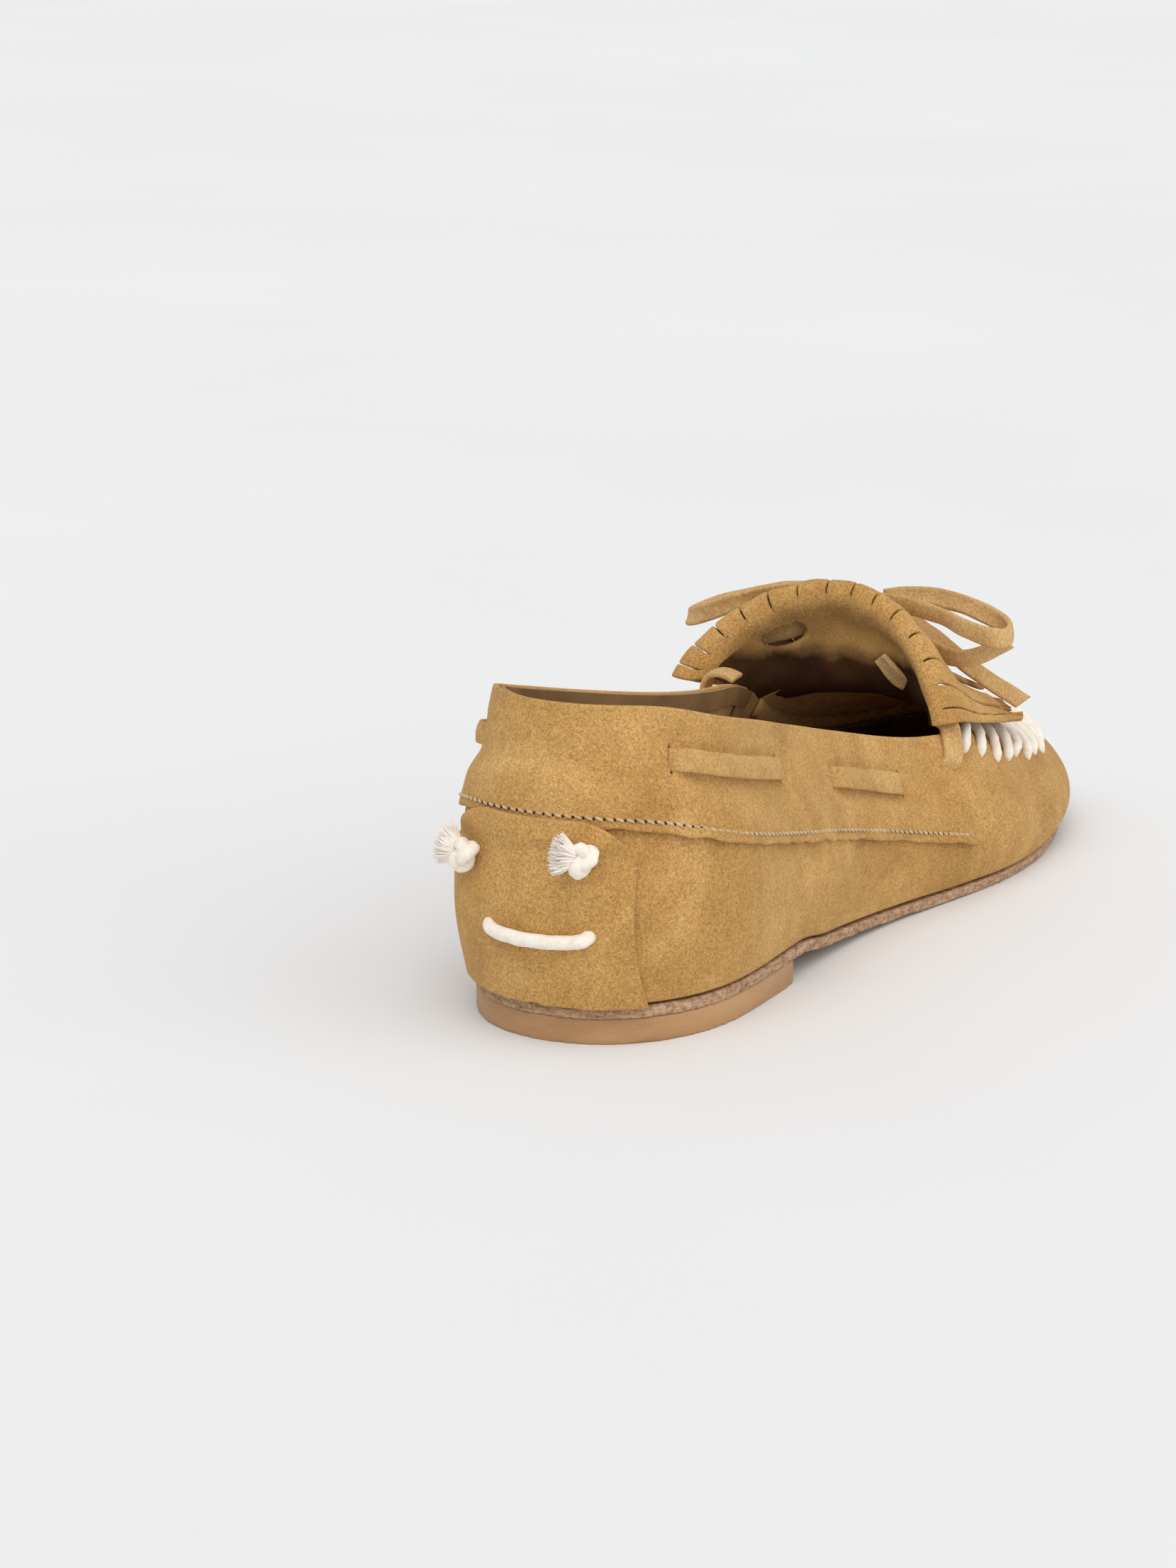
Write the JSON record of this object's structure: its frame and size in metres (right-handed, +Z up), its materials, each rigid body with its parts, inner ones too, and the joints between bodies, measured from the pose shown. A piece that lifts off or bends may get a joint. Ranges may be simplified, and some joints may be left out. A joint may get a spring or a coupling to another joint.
{
  "type": "moccasin",
  "caption": "Right-foot suede kiltie moccasin with a laced collar, fringed fold-over tongue and bow, whip-stitched apron, heel patch with cord knots, and a thin leather sole with a low heel",
  "frame": {"origin": "Centre of the bounding box on the floor, measured without the free ends and loops of the lace", "axes": "+Z is up, -Y points to the toe, +X is the inner (medial) side of the right foot"},
  "size_m": [0.0926, 0.2634, 0.077],
  "materials": {
    "suede": "brushed suede, golden tan, soft nap",
    "suede_lace": "cut suede thong, golden tan, napped both sides",
    "cotton_cord": "soft twisted cotton cord, ecru",
    "lining_leather": "smooth unglazed lining leather, warm brown",
    "facing_suede": "pale suede facing, short nap",
    "sole_leather": "vegetable-tanned sole leather, raw cut edge",
    "heel_leather": "smooth burnished heel block, satin",
    "insole_board": "cellulose-bonded leather board",
    "cork_filler": "granulated cork filler",
    "shank_steel": "spring steel strip",
    "heel_foam": "latex foam pad",
    "stiffener": "leatherboard stiffener"
  },
  "bodies": {
    "shoe": {"outsole": "sole_leather", "heel_block": "heel_leather", "bottom_filler": "cork_filler", "shank": "shank_steel", "insole_board": "insole_board", "heel_pad": "heel_foam", "sock_lining": "lining_leather", "vamp": "suede", "collar": "suede", "collar_lace": "suede_lace", "heel_patch": "suede", "heel_counter": "stiffener", "toe_puff": "stiffener", "quarter_lining": "lining_leather", "topline_facing": "facing_suede", "vamp_lining": "lining_leather", "apron": "suede", "whip_stitches": "cotton_cord", "lace_run_lateral": "suede_lace", "lace_run_medial": "suede_lace", "heel_knot_medial": "cotton_cord", "heel_knot_lateral": "cotton_cord", "heel_bar_stitch": "cotton_cord"},
    "tongue": {"kiltie_tongue": "suede", "bow_knot": "suede_lace", "bow_loop_lateral": "suede_lace", "bow_loop_medial": "suede_lace", "lace_tail_lateral": "suede_lace", "lace_tail_front": "suede_lace"}
  },
  "joints": [
    {"name": "tongue_tilt", "type": "hinge", "parent": "shoe", "child": "tongue", "pos_m": [0, -0.02285, 0.0495], "axis": [1, 0, 0], "range_deg": [-18, 0]}
  ]
}
